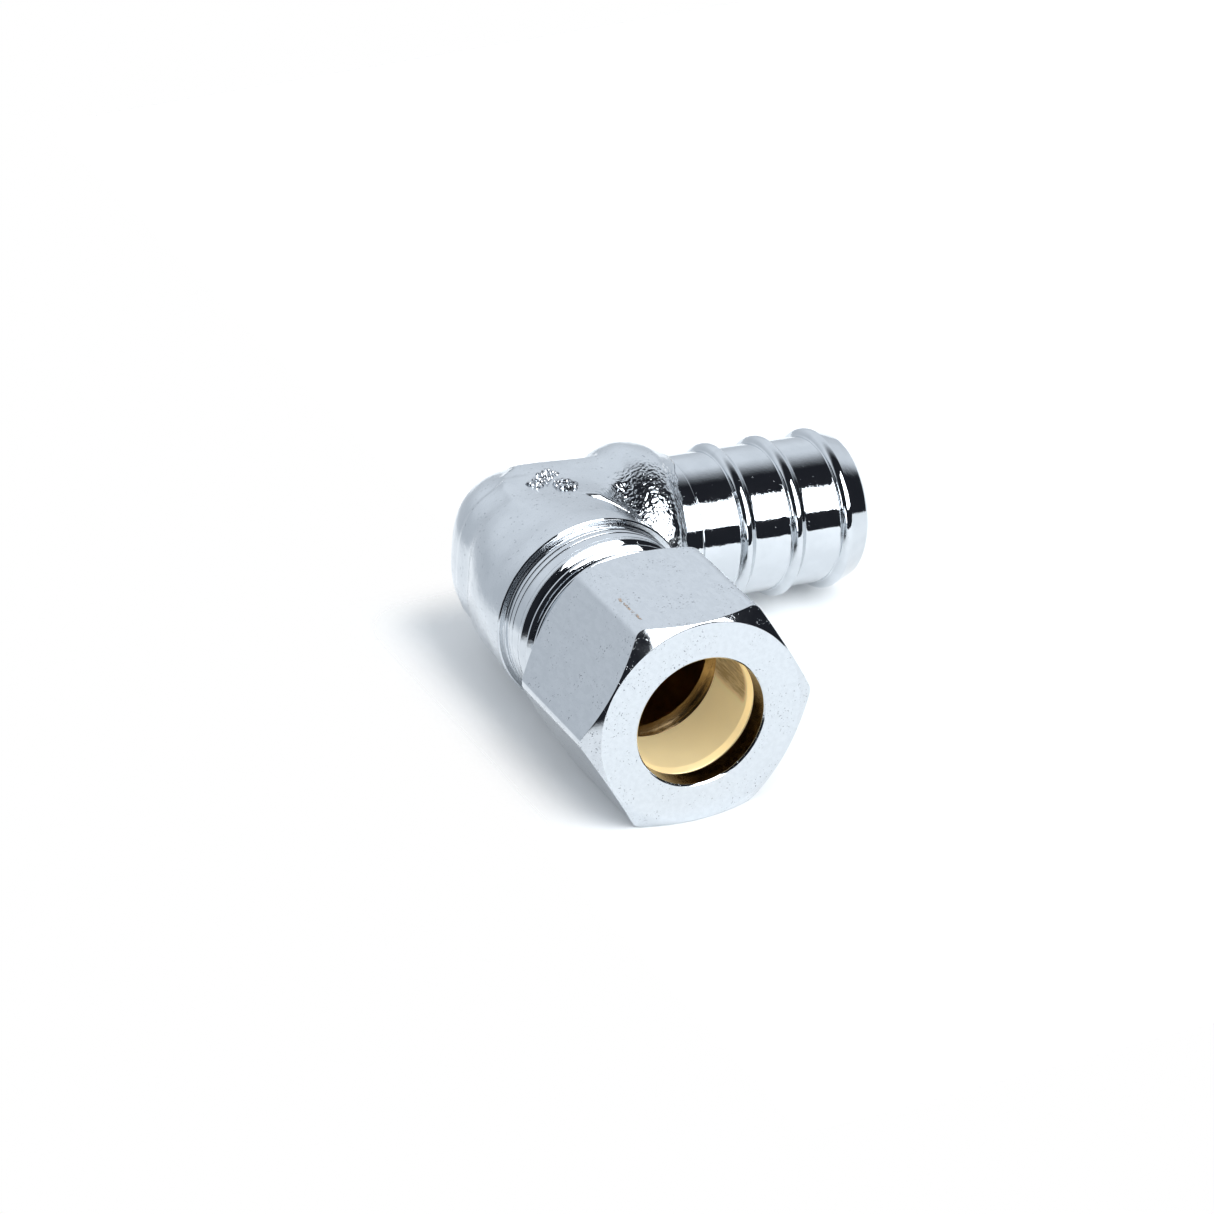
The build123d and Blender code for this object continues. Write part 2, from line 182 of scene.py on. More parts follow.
class Skin:
    """Rings of vertices and the triangles between them, gathered into one closed mesh."""

    def __init__(self):
        self.points = []
        self.grain = []
        self.count = 0
        self.tris = []
        self.mats = []

    def ring(self, points, grain=0.0):
        points = np.asarray(points, float).reshape(-1, 3)
        self.points.append(points)
        self.grain.append(np.broadcast_to(np.asarray(grain, float), (len(points),)))
        self.count += len(points)
        return np.arange(self.count - len(points), self.count)

    def faces(self, a, b, c, mat):
        rows = np.stack(np.broadcast_arrays(a, b, c), -1).reshape(-1, 3)
        self.tris.append(rows)
        self.mats.append(np.full(len(rows), mat))

    def quads(self, a, b, c, d, mat):
        self.faces(a, b, c, mat)
        self.faces(a, c, d, mat)

    def bridge(self, a, b, mat):
        self.quads(a, np.roll(a, -1), np.roll(b, -1), b, mat)

    def helix(self, below, above, place, first, last, phases, mat, flip=False):
        """Strip of a screw thread between two flat rings.

        place(column, phase) gives its points; columns run on from turn to turn, phases run across a pitch.
        """
        n = len(below)
        edge = self.ring(place(np.arange(first, last + n + 1), 0))
        grid = [edge[:last - first + 1]]
        for phase in range(1, phases):
            grid.append(self.ring(place(np.arange(first, last + 1), phase)))
        grid.append(edge[n:])
        sign = -1 if flip else 1

        def face(a, b, c):
            self.faces(*((a, b, c)[::sign]), mat)

        for low, high in zip(grid[:-1], grid[1:]):
            face(low[:-1], low[1:], high[1:])
            face(low[:-1], high[1:], high[:-1])
        lower = below[np.arange(first, first + n + 1) % n]
        face(lower[:-2], lower[1:-1], edge[1:n])
        face(lower[:-2], edge[1:n], edge[:n - 1])
        fan = edge[n - 1]
        seam = [lower[n]] + [row[0] for row in grid]
        face(fan, lower[n - 1], lower[n])
        for a, b in zip(seam[:-1], seam[1:]):
            face(fan, a, b)
        upper = above[np.arange(last, last + n + 1) % n]
        top = edge[last - first:]
        face(top[1:-1], top[2:], upper[2:])
        face(top[1:-1], upper[2:], upper[1:-1])
        fan = top[1]
        seam = [upper[0]] + [row[-1] for row in grid[::-1]]
        face(fan, upper[1], upper[0])
        for a, b in zip(seam[:-1], seam[1:]):
            face(fan, a, b)

    def build(self, name, materials):
        points = np.concatenate(self.points)
        tris = np.concatenate(self.tris)
        mats = np.concatenate(self.mats)
        corner = points[tris]
        cross = np.cross(corner[:, 1] - corner[:, 0], corner[:, 2] - corner[:, 0])
        keep = np.linalg.norm(cross, axis=1) > 1e-7
        tris, mats, cross = tris[keep], mats[keep], cross[keep]
        normals = np.zeros_like(points)
        for k in range(3):
            np.add.at(normals, tris[:, k], cross)
        normals /= np.maximum(np.linalg.norm(normals, axis=1), 1e-12)[:, None]
        mesh = bpy.data.meshes.new(name)
        mesh.vertices.add(len(points))
        mesh.vertices.foreach_set("co", (points * MM).ravel())
        mesh.loops.add(3 * len(tris))
        mesh.loops.foreach_set("vertex_index", tris.ravel())
        mesh.polygons.add(len(tris))
        mesh.polygons.foreach_set("loop_start", np.arange(0, 3 * len(tris), 3))
        mesh.update(calc_edges=True)
        mesh.polygons.foreach_set("material_index", mats)
        mesh.polygons.foreach_set("use_smooth", np.ones(len(tris), bool))
        mesh.attributes.new("grain", "FLOAT", "POINT").data.foreach_set("value", np.concatenate(self.grain))
        for material in materials:
            mesh.materials.append(material)
        mesh.normals_split_custom_set_from_vertices(normals)
        obj = bpy.data.objects.new(name, mesh)
        bpy.context.scene.collection.objects.link(obj)
        return obj


def tube_ring(theta, y, r):
    """Ring round the tube axis; y and r may change with theta."""
    return np.stack(np.broadcast_arrays(r * np.sin(theta), y, r * np.cos(theta)), -1)


def barb_ring(theta, x, r):
    """Ring round the barb's centre line."""
    return np.stack(np.broadcast_arrays(x, CENTRE_Y - r * np.sin(theta), r * np.cos(theta)), -1)


# ---- materials --------------------------------------------------------------
class Shader:
    """Node tree with short calls for the nodes used here."""

    def __init__(self, tree):
        self.tree = tree
        tree.nodes.clear()

    def node(self, kind, inputs=(), **settings):
        node = self.tree.nodes.new(kind)
        for key, value in settings.items():
            setattr(node, key, value)
        for key, value in dict(inputs).items():
            if isinstance(value, bpy.types.NodeSocket):
                self.tree.links.new(value, node.inputs[key])
            else:
                node.inputs[key].default_value = value
        return node

    def math(self, operation, *values, clamp=False):
        return self.node("ShaderNodeMath", dict(enumerate(values)), operation=operation,
                         use_clamp=clamp).outputs[0]

    def ramp(self, value, low, high, to_low=0.0, to_high=1.0, kind="SMOOTHSTEP"):
        return self.node("ShaderNodeMapRange", {"Value": value, "From Min": low, "From Max": high,
                                                "To Min": to_low, "To Max": to_high},
                         interpolation_type=kind).outputs["Result"]

    def window(self, value, low, high, edge):
        """1 between low and high, fading to 0 over edge at both ends."""
        return self.math("MULTIPLY", self.ramp(value, low, low + edge),
                         self.ramp(value, high - edge, high, 1.0, 0.0))

    def noise(self, vector, scale, detail=2.0, roughness=0.5):
        return self.node("ShaderNodeTexNoise", {"Vector": vector, "Scale": scale, "Detail": detail,
                                                "Roughness": roughness}).outputs["Fac"]

    def mix(self, factor, a, b):
        node = self.node("ShaderNodeMix", data_type="RGBA")
        for socket, value in zip((node.inputs[0], node.inputs[6], node.inputs[7]), (factor, a, b)):
            if isinstance(value, bpy.types.NodeSocket):
                self.tree.links.new(value, socket)
            else:
                socket.default_value = value
        return node.outputs[2]

    def bump(self, height, strength, distance, normal=None):
        inputs = {"Height": height, "Strength": strength, "Distance": distance}
        if normal is not None:
            inputs["Normal"] = normal
        return self.node("ShaderNodeBump", inputs).outputs["Normal"]

    def split(self, vector):
        return self.node("ShaderNodeSeparateXYZ", {0: vector}).outputs[:3]

    def join(self, x, y, z):
        return self.node("ShaderNodeCombineXYZ", {0: x, 1: y, 2: z}).outputs[0]


def rgba(r, g, b):
    return (r, g, b, 1.0)


CHROME = rgba(0.64, 0.67, 0.70)
CHROME_WARM = rgba(0.60, 0.63, 0.66)
PIT = rgba(0.30, 0.32, 0.35)
SPECK = rgba(0.14, 0.15, 0.18)
SCRATCH = rgba(0.55, 0.36, 0.22)

LINE_CENTRE = (0.0038, 0.00876)           # faint double arc on the die face, metres
LINE_R = 0.00696
LINE_HALF_GAP = 0.00012
SCRATCH_AT = (-0.00427, -0.0106)          # scratch by the nut's top flat, metres


def new_material(name):
    material = bpy.data.materials.new(name)
    material.use_nodes = True
    shader = Shader(material.node_tree)
    place = shader.node("ShaderNodeTexCoord").outputs["Object"]
    return material, shader, place


def finish_material(shader, color, roughness, normal, metallic=1.0, brushed=0.0, painted_glow=0.0):
    inputs = {"Base Color": color, "Metallic": metallic, "Roughness": roughness, "Normal": normal}
    if brushed:
        tangent = shader.node("ShaderNodeTangent", direction_type="RADIAL", axis="Y").outputs[0]
        inputs.update({"Anisotropic": brushed, "Anisotropic Rotation": 0.25, "Tangent": tangent})
    # painted_glow is painted light: an emission in the surface's own colour, a glow on a part that is no
    # lamp.
    if painted_glow:
        inputs.update({"Emission Color": color, "Emission Strength": painted_glow})
    surface = shader.node("ShaderNodeBsdfPrincipled", inputs)
    shader.node("ShaderNodeOutputMaterial", {"Surface": surface.outputs[0]})


def turned_chrome():
    """Bright plate over fine lathe lines and a few pores."""
    material, s, place = new_material("chrome_turned")
    x, y, z = s.split(place)
    barb = s.math("GREATER_THAN", x, 0.0085)
    along = s.math("ADD", s.math("MULTIPLY", x, barb), s.math("MULTIPLY", y, s.math("SUBTRACT", 1.0, barb)))
    flat = s.join(along, s.math("MULTIPLY", z, 0.02), s.math("MULTIPLY", x, 0.02))
    lines = s.noise(flat, 14000.0, 2.0, 0.6)
    wave = s.noise(place, 1300.0, 3.0, 0.6)
    pores = s.ramp(s.noise(place, 5200.0, 1.0), 0.76, 0.82)
    normal = s.bump(wave, 0.16, 0.00005)
    normal = s.bump(lines, 0.22, 0.00001, normal)
    normal = s.bump(s.math("MULTIPLY", pores, -1.0), 0.3, 0.00002, normal)
    roughness = s.ramp(s.noise(place, 1500.0, 3.0), 0.3, 0.7, 0.025, 0.06)
    color = s.mix(s.ramp(s.noise(place, 700.0, 2.0), 0.35, 0.65), CHROME, CHROME_WARM)
    finish_material(s, color, roughness, normal)
    return material


def forged_chrome():
    """Plate over the forging: orange peel, pits, deeper ones where grain says, and a faint double arc."""
    material, s, place = new_material("chrome_forged")
    grain = s.node("ShaderNodeAttribute", attribute_name="grain").outputs["Fac"]
    peel = s.noise(place, 1500.0, 3.0, 0.55)
    fine = s.noise(place, 5000.0, 2.0, 0.5)
    pits = s.ramp(s.noise(place, 3600.0, 1.0), 0.66, 0.76)
    normal = s.bump(peel, 0.30, 0.00006)
    normal = s.bump(fine, 0.22, 0.000018, normal)
    normal = s.bump(s.math("MULTIPLY", pits, -1.0), 0.30, 0.00003, normal)
    deep = s.ramp(s.noise(place, 3900.0, 0.6, 0.5), 0.30, 0.70)
    normal = s.bump(s.math("MULTIPLY", deep, grain), 1.0, 0.000046, normal)
    x, y, z = s.split(place)
    away = s.math("SQRT", s.math("ADD", s.math("POWER", s.math("SUBTRACT", x, LINE_CENTRE[0]), 2.0),
                                 s.math("POWER", s.math("SUBTRACT", y, LINE_CENTRE[1]), 2.0)))
    off = s.math("ABSOLUTE", s.math("SUBTRACT", away, LINE_R))
    line = s.ramp(s.math("ABSOLUTE", s.math("SUBTRACT", off, LINE_HALF_GAP)), 0.00002, 0.00009, 1.0, 0.0)
    side = s.math("MULTIPLY", s.ramp(x, -0.0016, -0.0006, 1.0, 0.0), s.ramp(z, 0.004, 0.0048))
    side = s.math("MULTIPLY", side, s.ramp(y, 0.0060, 0.0072))
    broken = s.ramp(s.noise(place, 1300.0, 2.0), 0.3, 0.6, 0.3, 1.0)
    line = s.math("MULTIPLY", s.math("MULTIPLY", line, side), broken)
    normal = s.bump(line, -0.7, 0.00005, normal)
    roughness = s.ramp(s.noise(place, 900.0, 3.0), 0.3, 0.7, 0.13, 0.22)
    roughness = s.math("SUBTRACT", roughness, s.math("MULTIPLY", grain, 0.13), clamp=True)
    color = s.mix(s.ramp(s.noise(place, 400.0, 3.0), 0.35, 0.65), CHROME, CHROME_WARM)
    color = s.mix(s.math("MULTIPLY", pits, 0.45), color, PIT)
    finish_material(s, color, roughness, normal)
    return material


def mark_chrome():
    """Faceted plate on the raised marks, its colour a painted highlight at each facet's middle and painted
    shade at its edges.
    """
    material, s, place = new_material("chrome_marks")
    cells = s.node("ShaderNodeTexVoronoi", {"Vector": place, "Scale": 3600.0}).outputs["Distance"]
    normal = s.bump(cells, 1.0, 0.00030)
    normal = s.bump(s.noise(place, 6000.0, 2.0), 0.4, 0.00004, normal)
    roughness = s.ramp(s.noise(place, 2500.0, 2.0), 0.3, 0.7, 0.04, 0.12)
    # Painted highlight and shade: colour runs from brighter than the plate at each facet's middle to dark
    # grey at its edge.
    finish_material(s, s.mix(cells, rgba(0.88, 0.90, 0.93), rgba(0.30, 0.32, 0.35)), roughness, normal)
    return material


def nut_chrome():
    """Plate on drawn hexagon bar: faint mottling, dark specks and one brown scratch by the top flat."""
    material, s, place = new_material("chrome_nut")
    x, y, z = s.split(place)
    stretched = s.join(x, s.math("MULTIPLY", y, 0.45), z)
    mottle = s.noise(stretched, 2600.0, 3.0, 0.6)
    specks = s.ramp(s.noise(place, 6200.0, 1.5), 0.65, 0.70)
    specks = s.math("MULTIPLY", specks, s.ramp(s.noise(place, 600.0, 1.0), 0.42, 0.66))
    normal = s.bump(s.noise(place, 260.0, 1.0), 0.25, 0.00008)
    normal = s.bump(mottle, 0.25, 0.000012, normal)
    normal = s.bump(s.math("MULTIPLY", specks, -1.0), 0.45, 0.00003, normal)
    across = s.math("SUBTRACT", x, SCRATCH_AT[0])
    along = s.math("SUBTRACT", y, SCRATCH_AT[1])
    jitter = s.math("MULTIPLY", s.math("SUBTRACT", s.noise(place, 1500.0, 2.0), 0.5), 0.0003)
    scratch = s.math("MULTIPLY",
                     s.ramp(s.math("ABSOLUTE", s.math("ADD", across, jitter)), 0.00005, 0.00014, 1.0, 0.0),
                     s.ramp(s.math("ABSOLUTE", along), 0.0014, 0.0019, 1.0, 0.0))
    scratch = s.math("MULTIPLY", scratch, s.ramp(s.noise(place, 2600.0, 2.0), 0.42, 0.58))
    scratch = s.math("MULTIPLY", scratch, s.ramp(z, 0.0070, 0.0074))
    normal = s.bump(s.math("MULTIPLY", scratch, -1.0), 0.8, 0.00006, normal)
    roughness = s.ramp(s.noise(place, 1200.0, 3.0), 0.3, 0.7, 0.05, 0.11)
    color = s.mix(s.ramp(mottle, 0.35, 0.65), CHROME, CHROME_WARM)
    color = s.mix(s.math("MULTIPLY", specks, 0.8), color, SPECK)
    color = s.mix(s.math("MULTIPLY", scratch, 0.9), color, SCRATCH)
    finish_material(s, color, roughness, normal)
    return material


def lathe_rings(s, x, y, z):
    """Height of fine rings cut round the tube axis."""
    flat = s.join(s.math("MULTIPLY", x, 0.05), y, s.math("MULTIPLY", z, 0.05))
    return s.noise(flat, 16000.0, 3.0, 0.7)


def raw_brass(name, color, dark, low, high, turned, metallic=1.0):
    """Unplated brass; turned brass carries fine rings round the tube axis."""
    material, s, place = new_material(name)
    rings = lathe_rings(s, *s.split(place))
    rough = s.noise(place, 2600.0, 3.0, 0.6)
    normal = s.bump(rings, 0.35 * turned, 0.00002)
    normal = s.bump(rough, 0.12 + 0.5 * (1 - turned), 0.00005, normal)
    stain = s.ramp(s.noise(place, 700.0, 3.0), 0.40, 0.68)
    shade = s.mix(s.math("MULTIPLY", stain, 0.35), color, dark)
    roughness = s.ramp(s.noise(place, 1800.0, 3.0), 0.3, 0.7, low, high)
    finish_material(s, shade, roughness, normal, metallic)
    return material


def sleeve_brass():
    """Brushed sleeve: cream gold with bright turned lips, a painted dark reflection on its upper side and a
    weak glow of painted light.
    """
    material, s, place = new_material("brass_sleeve")
    x, y, z = s.split(place)
    rings = lathe_rings(s, x, y, z)
    streaks = s.noise(s.join(x, s.math("MULTIPLY", y, 0.12), z), 5200.0, 3.0, 0.7)
    # Painted dark reflection: the upper side, towards +X and the rear, is darkened, broken up by the brushing
    # streaks.
    rough = s.math("MULTIPLY", s.ramp(z, -0.0010, -0.0002), s.ramp(x, 0.0002, 0.0020))
    rough = s.math("MULTIPLY", rough, s.ramp(y, -0.0120, -0.0114))
    painted_dark_reflection = s.math("MULTIPLY", rough, s.ramp(streaks, 0.30, 0.62, 0.55, 1.0))
    shade = s.mix(s.math("MULTIPLY", painted_dark_reflection, 0.85), rgba(1.0, 0.83, 0.48), rgba(0.30, 0.19, 0.07))
    normal = s.bump(rings, 0.25, 0.00002)
    normal = s.bump(streaks, 0.10, 0.00001, normal)
    roughness = s.ramp(s.noise(place, 1800.0, 3.0), 0.3, 0.7, 0.30, 0.40)
    # Painted light: the sleeve glows weakly in its own colour (emission strength 0.24).
    finish_material(s, shade, roughness, normal, 0.60, 0.5, 0.24)
    return material


CHROME_TURNED = turned_chrome()
CHROME_FORGED = forged_chrome()
CHROME_MARKS = mark_chrome()
CHROME_NUT = nut_chrome()
BRASS_BORE = raw_brass("brass_bore", rgba(0.80, 0.56, 0.22), rgba(0.35, 0.20, 0.08), 0.30, 0.45, 0.3, 0.6)
# Turned brass made near black: painted shade of the socket's seat and the nut's threaded bore, not the
# metal's own colour.
BRASS_TURNED_PAINTED_SHADE = raw_brass("brass_turned", rgba(0.16, 0.11, 0.055), rgba(0.07, 0.05, 0.03), 0.14, 0.26, 1.0)
BRASS_SLEEVE = sleeve_brass()
TURNED, FORGED, BORE, SEAT = range(4)     # material slots of the elbow
NUT_OUTSIDE, NUT_BORE = range(2)          # and of the nut

# ---- forged body as a distance-like field -----------------------------------
# Radius against the distance from the other leg's centre line: collar at its sides, at its top, and the boss.
flare_r = curve([(0, HUB_R), (1.6, 5.95), (3.0, 6.55), (4.7, 7.08), (6.8, 7.43), (8.7, COLLAR_R),
                 (12, COLLAR_R)])
top_r = curve([(-2, 5.86), (0, 5.95), (2.0, 6.25), (4.7, 6.70), (6.8, 7.07), (8.7, 7.40), (10.3, COLLAR_R)])
boss_r = curve([(0, BARB_HUB_R), (4.6, BARB_HUB_R), (5.5, 5.97), (6.7, 6.86), (7.9, 7.17), (9.2, 6.94),
                (10.1, 6.38), (TURNED_X, 5.92)], (0, -0.4))
SHOULDER_POWER = 2.7                      # squareness of the forged sections near the corner
LAND_Z = 5.84
LAND_DRAFT = 0.36
LAND_OUTLINE = np.array([(-1.9, -7.6), (-2.75, -5.5), (-3.1, -3.0), (-2.75, -0.7), (-1.85, 1.1), (-0.6, 2.1),
                         (5.6, 2.1), (5.6, -2.1), (2.8, -3.7), (2.4, -7.6)])
SCOOP_TIP = np.array((2.7, 8.8))
SCOOP_ALONG = np.array((0.93, -0.36))


def outline_distance(x, y, outline):
    """Signed distance in the plane to a closed outline, negative inside."""
    best = np.full(x.shape, 1e9)
    inside = np.zeros(x.shape, bool)
    for (ax, ay), (bx, by) in zip(outline, np.roll(outline, -1, axis=0)):
        ex, ey = bx - ax, by - ay
        t = np.clip(((x - ax) * ex + (y - ay) * ey) / (ex * ex + ey * ey), 0, 1)
        best = np.minimum(best, np.hypot(x - ax - t * ex, y - ay - t * ey))
        crosses = ((ay > y) != (by > y)) & (x < (bx - ax) * (y - ay) / (by - ay + 1e-12) + ax)
        inside ^= crosses
    return np.where(inside, -best, best)


def collar_r(d, upright):
    """Radius of the tube leg; upright is 0 at the sides of the section and 1 at its top and bottom."""
    return flare_r(d) + (top_r(d) - flare_r(d)) * upright


def squared(a, b, power):
    """Size of a section point: round at power 2, squarer shoulders above it."""
    return (np.abs(a) ** power + np.abs(b) ** power) ** (1 / power)


def forging(p):
    """Negative inside the forged body; p is (..., 3) in millimetres."""
    x, y, z = p[..., 0], p[..., 1], p[..., 2]
    d = CENTRE_Y - y
    upright = np.abs(z) / np.maximum(np.hypot(x, z), 1e-6)
    rounder = SHOULDER_POWER - 2
    tube = squared(x, z, SHOULDER_POWER - rounder * ramp(d, 2, 8)) - collar_r(d, upright)
    barb = squared(d, z, SHOULDER_POWER - rounder * ramp(x, 1, 6)) - boss_r(x)
    corner = squared(np.hypot(x, d), z, SHOULDER_POWER) - CORNER_R
    tube, barb = np.maximum(tube, -d), np.maximum(barb, -x)
    soft = 0.3 + 1.0 * np.clip((x + d - 3.3) / 6.0, 0, 1)
    body = smooth_min(tube, barb, soft)
    body = smooth_min(body, corner, 0.5)
    plan = outline_distance(x, -d, LAND_OUTLINE)
    land = smooth_max(np.abs(z) - LAND_Z, plan - (LAND_Z - np.abs(z)) * LAND_DRAFT, 0.12)
    body = smooth_min(body, land, 1.3)
    along = (x - SCOOP_TIP[0]) * SCOOP_ALONG[0] + (y - SCOOP_TIP[1]) * SCOOP_ALONG[1]
    across = -(x - SCOOP_TIP[0]) * SCOOP_ALONG[1] + (y - SCOOP_TIP[1]) * SCOOP_ALONG[0]
    floor = 6.10 - 0.50 * along
    cut = np.abs(z) - floor - np.maximum((across + 0.25) * 1.15, (-0.25 - across) * 0.75)
    return smooth_max(body, cut * 0.66, 0.10)


def surface_radius(centre, reach, step=0.3, steps=40):
    """Distance from each centre to the surface along each direction."""
    low = np.full(reach.shape[:-1], 2.5)
    high = low.copy()
    open_ = np.ones(low.shape, bool)
    for _ in range(steps):
        high = np.where(open_, high + step, high)
        outside = forging(centre + reach * high[..., None]) > 0
        low = np.where(open_ & ~outside, high, low)
        open_ &= ~outside
    for _ in range(14):
        middle = (low + high) / 2
        outside = forging(centre + reach * middle[..., None]) > 0
        high = np.where(outside, middle, high)
        low = np.where(outside, low, middle)
    return (low + high) / 2


def land_height(x, y):
    """Height of the forged top face over a point in plan."""
    low = np.full(np.shape(x), 4.0)
    high = np.full(np.shape(x), 8.5)
    for _ in range(18):
        middle = (low + high) / 2
        outside = forging(np.stack([x, y, middle], -1)) > 0
        high = np.where(outside, middle, high)
        low = np.where(outside, low, middle)
    return low


# ---- elbow ------------------------------------------------------------------
PIVOT = np.array((8.6, 4.6))              # the section planes turn about this point
BEND_ROWS = 128
PHASE_STEPS = np.array((0, 0.09, 0.13, 0.28, 0.43, 0.47, PITCH / 2))
PHASES = np.concatenate([PHASE_STEPS, PITCH - PHASE_STEPS[-2:0:-1]])
PROFILE = np.array((0, 0, 0.015, 0.29, 0.55, 0.577, 0.58))
PROFILE = ROOT_R + np.concatenate([PROFILE, PROFILE[-2:0:-1]])


def male_thread(column, phase):
    turn = column // N + THETA[column % N] / (2 * np.pi)
    y = FACE_Y + THREAD_PHASE + PITCH / 2 + PITCH * turn + PHASES[phase]
    half = len(PHASES) // 2

    def depth(groove):
        return 1 - ramp(groove, 5.85, 6.3)
    if phase < half:
        full = depth(turn)
    elif phase > half:
        full = depth(turn + 1)
    else:
        full = (depth(turn) + depth(turn + 1)) / 2
    r = ROOT_R + (PROFILE[phase] - ROOT_R) * ramp(turn, 0, 0.5)
    r = BAND_R + (r - BAND_R) * full
    if phase == len(PHASES) - 1:
        r = r - 0.05 * ramp(turn, 5.3, 5.5) * (1 - ramp(turn, 6.2, THREAD_TURNS - 0.02))
    r = np.minimum(r, ROOT_R + (y - FACE_Y))
    return tube_ring(THETA[column % N], y, r)


def bend_frames():
    """Centre and inward direction of each section plane round the corner."""
    centres, inwards = [], []
    for angle in np.radians(90.0) * np.arange(BEND_ROWS + 1) / BEND_ROWS:
        across = CENTRE_Y - PIVOT[1]
        if PIVOT[0] * np.tan(min(angle, 1.5)) < across:
            centre = (0, PIVOT[1] + PIVOT[0] * np.tan(angle), 0)
        else:
            centre = (PIVOT[0] - across / np.tan(angle), CENTRE_Y, 0)
        centres.append(centre)
        inwards.append((np.cos(angle), -np.sin(angle), 0))
    return np.array(centres), np.array(inwards)


# Where the forging ends, against the angle from +Z towards the front, in degrees.
FORGED_EDGE = curve([(-180, 10.9), (-60, 11.1), (-7, 11.25), (5, 11.1), (15, 10.75), (25, 10.5), (36, 10.25),
                     (54, 10.15), (71, 10.0), (110, 10.2), (180, 10.9)])


def build_elbow():
    skin = Skin()
    sin, cos = np.sin(THETA), np.cos(THETA)

    # end face and thread
    start = skin.ring(tube_ring(THETA, FACE_Y, SEAT_R + 0.03))
    face = skin.ring(tube_ring(THETA, FACE_Y, ROOT_R - 0.06))
    below = skin.ring(tube_ring(THETA, FACE_Y + 0.03, ROOT_R))
    skin.bridge(start, face, TURNED)
    skin.bridge(face, below, TURNED)
    above = skin.ring(tube_ring(THETA, BAND_START_Y, BAND_R))
    skin.helix(below, above, male_thread, 0, int(THREAD_TURNS * N), len(PHASES), TURNED)

    # run-out band with its cut lines, shoulder and bevel
    last = above
    band = []
    for y, half in RUN_OUT_LINES:
        band += [(y - half - 0.05, BAND_R), (y - half - 0.012, BAND_R - 0.01), (y - half, BAND_R - 0.06),
                 (y + half, BAND_R - 0.06), (y + half + 0.012, BAND_R - 0.01), (y + half + 0.05, BAND_R)]
    around = tube_ring(THETA, SHOULDER_Y, 8.0)
    wobble = 0.035 * noise(around, 0.9, 3) + 0.02 * noise(around, 0.35, 4)
    band += [(2.985, BAND_R), (SHOULDER_Y, BAND_R + 0.015), (SHOULDER_Y, BAND_R + 0.06)]
    for r in SHOULDER_LINES_R:
        lean = SHOULDER_Y + 0.10 * (r - BAND_R)
        band += [(lean + 0.012, r), (lean, r + 0.015), (lean + 0.002, r + 0.055)]
    band += [(SHOULDER_Y + 0.036, 7.42), (SHOULDER_Y + 0.046, 7.435),
             (SHOULDER_Y + 0.105 + wobble, 7.505 + 0.4 * wobble),
             (SHOULDER_Y + 0.115 + wobble, 7.515 + 0.3 * wobble)]
    for y, r in band:
        ring = skin.ring(tube_ring(THETA, y, r))
        skin.bridge(last, ring, TURNED)
        last = ring

    # forging: straight rows on the collar, then planes that turn round the bend
    edge_y = SHOULDER_Y + 0.14 + wobble
    rows = []
    for share in np.linspace(0, 1, 11)[:-1]:
        y = edge_y + (PIVOT[1] - edge_y) * share
        d = CENTRE_Y - y
        rows.append(tube_ring(THETA, y, collar_r(d, np.abs(cos))))
    centres, inwards = bend_frames()
    reach = inwards[:, None, :] * sin[None, :, None] + np.array((0, 0, 1.0)) * cos[None, :, None]
    radius = surface_radius(centres[:, None, :], reach)
    rows += list(centres[:, None, :] + reach * radius[..., None])
    degrees = np.degrees((THETA + np.pi) % (2 * np.pi) - np.pi)
    around = barb_ring(THETA, 10.0, 6.5)
    jag = 0.09 * noise(around, 0.6, 5) + 0.08 * noise(around, 0.3, 6)
    jag *= 0.25 + 0.75 * ramp(degrees, 12, 32) * (1 - ramp(degrees, 85, 110))
    edge_x = FORGED_EDGE(degrees) + jag
    for share in np.linspace(0, 1, 15)[1:]:
        x = PIVOT[0] + (edge_x - PIVOT[0]) * share
        rows.append(barb_ring(THETA, x, boss_r(PIVOT[0] + (TURNED_X - PIVOT[0]) * share)))
    grid = np.array(rows)

    # orange peel everywhere, deep pits on the boss's front flank
    along_rows = np.gradient(grid, axis=0)
    round_rows = (np.roll(grid, -1, axis=1) - np.roll(grid, 1, axis=1)) / 2
    normal = np.cross(round_rows, along_rows)
    normal /= np.maximum(np.linalg.norm(normal, axis=-1), 1e-9)[..., None]
    x, y, z = grid[..., 0], grid[..., 1], grid[..., 2]
    front = np.degrees(np.arctan2(CENTRE_Y - y, z))
    grain = ramp(x, 3.6, 5.2) * ramp(front, 8, 20)
    grain = grain * (1 - 0.60 * ramp(front, 52, 66)) * (1 - ramp(front, 85, 105))
    grain = grain * (0.55 + 0.45 * ramp(noise(grid, 1.1, 8), -0.4, 0.4))
    fade = np.ones(len(grid))
    fade[0] = 0
    fade[-1] = 0.4
    bumps = 0.010 * (noise(grid, 1.6, 1) - 1) + 0.006 * (noise(grid, 0.7, 2) - 1)
    bumps += grain * (0.012 * (noise(grid, 0.8, 9) - 1) + 0.010 * (noise(grid, 0.4, 10) - 1))
    grid = grid + normal * (bumps * fade[:, None])[..., None]
    for row, rough in zip(grid, grain):
        ring = skin.ring(row, rough)
        skin.bridge(last, ring, FORGED)
        last = ring

